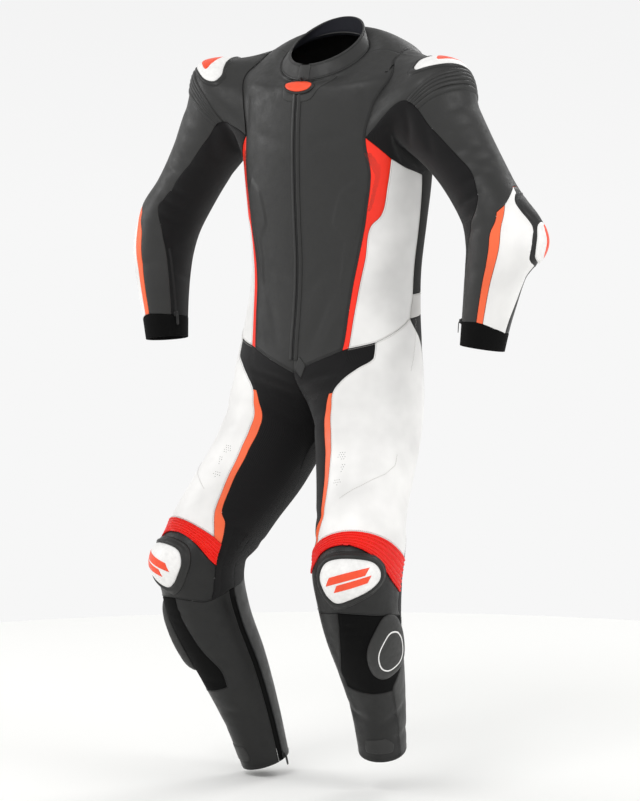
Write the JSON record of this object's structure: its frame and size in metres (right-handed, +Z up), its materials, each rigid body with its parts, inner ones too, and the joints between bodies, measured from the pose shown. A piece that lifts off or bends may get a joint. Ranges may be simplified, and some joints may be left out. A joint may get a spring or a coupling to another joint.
{
  "type": "motorcycle race suit",
  "caption": "Empty one-piece motorcycle race suit in its worn shape: leather panels, stretch cloth, ribbed knees, hard knee, shoulder and elbow plates, open collar, cuffs and hems.",
  "frame": {"origin": "where the wearer's shoulders hold the suit up: on the middle line, level with the top of the shoulders", "axes": "+Z up, the suit faces -Y, the wearer's left is +X"},
  "size_m": [0.885, 0.4268, 1.4044],
  "materials": {
    "black_leather": "satin",
    "deep_black_leather": "satin",
    "stretch_cloth": "matte",
    "black_cloth": "matte",
    "white_leather": "satin",
    "red_leather": "satin",
    "orange_leather": "satin",
    "rib_leather": "satin",
    "grey_leather": "satin",
    "mesh_cloth": "matte",
    "white_plate": "gloss",
    "black_plate": "matte",
    "orange_badge": "satin"
  },
  "bodies": {
    "root": {"back": "black_leather", "back_yoke": "black_leather", "calf_left": "black_leather", "calf_right": "black_leather", "calf_zip_left": "black_cloth", "calf_zip_right": "black_cloth", "collar": "black_leather", "collar_badge": "orange_badge", "cuff_left": "black_cloth", "cuff_right": "black_cloth", "elbow_panel_left": "deep_black_leather", "elbow_panel_right": "deep_black_leather", "elbow_plate_left": "white_plate", "elbow_plate_right": "white_plate", "forearm_strip_left": "orange_leather", "forearm_strip_right": "orange_leather", "forearm_white_left": "white_leather", "forearm_white_right": "white_leather", "front_left": "black_leather", "front_right": "black_leather", "inner_sleeve_left": "stretch_cloth", "inner_sleeve_right": "stretch_cloth", "knee_cup_left": "white_plate", "knee_cup_right": "white_plate", "knee_panel_left": "deep_black_leather", "knee_panel_right": "deep_black_leather", "knee_ribs_left": "rib_leather", "knee_ribs_right": "rib_leather", "leg_stretch_left": "stretch_cloth", "leg_stretch_right": "stretch_cloth", "seat_stretch_left": "stretch_cloth", "seat_stretch_right": "stretch_cloth", "shin_left": "deep_black_leather", "shin_right": "deep_black_leather", "shoulder_cap_left": "white_plate", "shoulder_cap_right": "white_plate", "shoulder_left": "black_leather", "shoulder_ribs_left": "black_leather", "shoulder_ribs_right": "black_leather", "shoulder_right": "black_leather", "side_mesh_left": "mesh_cloth", "side_mesh_right": "mesh_cloth", "side_panel_left": "white_leather", "side_panel_right": "white_leather", "side_yoke_left": "grey_leather", "side_yoke_right": "grey_leather", "slider_patch_left": "black_cloth", "slider_patch_right": "black_cloth", "slider_puck_left": "black_plate", "slider_puck_right": "black_plate", "thigh_left": "white_leather", "thigh_right": "white_leather", "thigh_strip_left": "orange_leather", "thigh_strip_right": "orange_leather", "torso_strip_left": "red_leather", "torso_strip_right": "red_leather", "upper_sleeve_left": "black_leather", "upper_sleeve_right": "black_leather", "zip": "black_cloth"}
  },
  "joints": []
}
